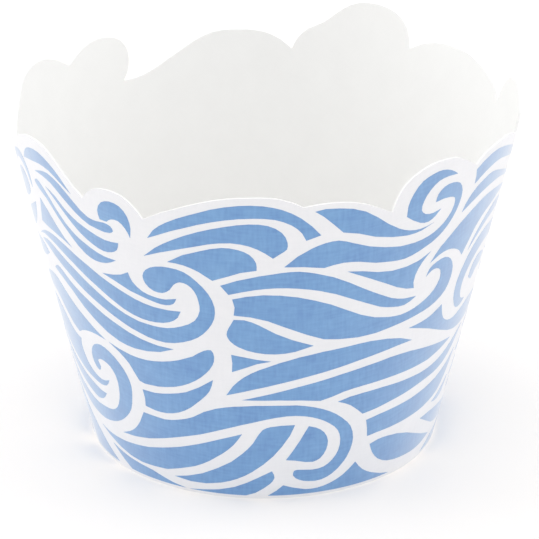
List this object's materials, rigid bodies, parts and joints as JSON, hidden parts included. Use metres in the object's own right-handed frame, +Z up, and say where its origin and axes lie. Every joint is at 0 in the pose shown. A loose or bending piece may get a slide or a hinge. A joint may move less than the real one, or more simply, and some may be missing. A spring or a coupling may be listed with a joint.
{
  "type": "cupcake wrapper",
  "caption": "Flared card sleeve with a wavy cut rim and printed wave ornament, open at both ends, that slips round a baked cupcake.",
  "frame": {"origin": "middle of the sleeve's round base, on the surface that it stands on", "axes": "+Z up along the sleeve's axis, -Y towards the front of the picture, +X to its right"},
  "size_m": [0.074, 0.0741, 0.0558],
  "materials": {
    "card": "matt white card with a fine fibre surface",
    "ink": "matt sky blue print on the card"
  },
  "bodies": {
    "root": {"sleeve": "card", "wave_print": "ink"}
  },
  "joints": []
}
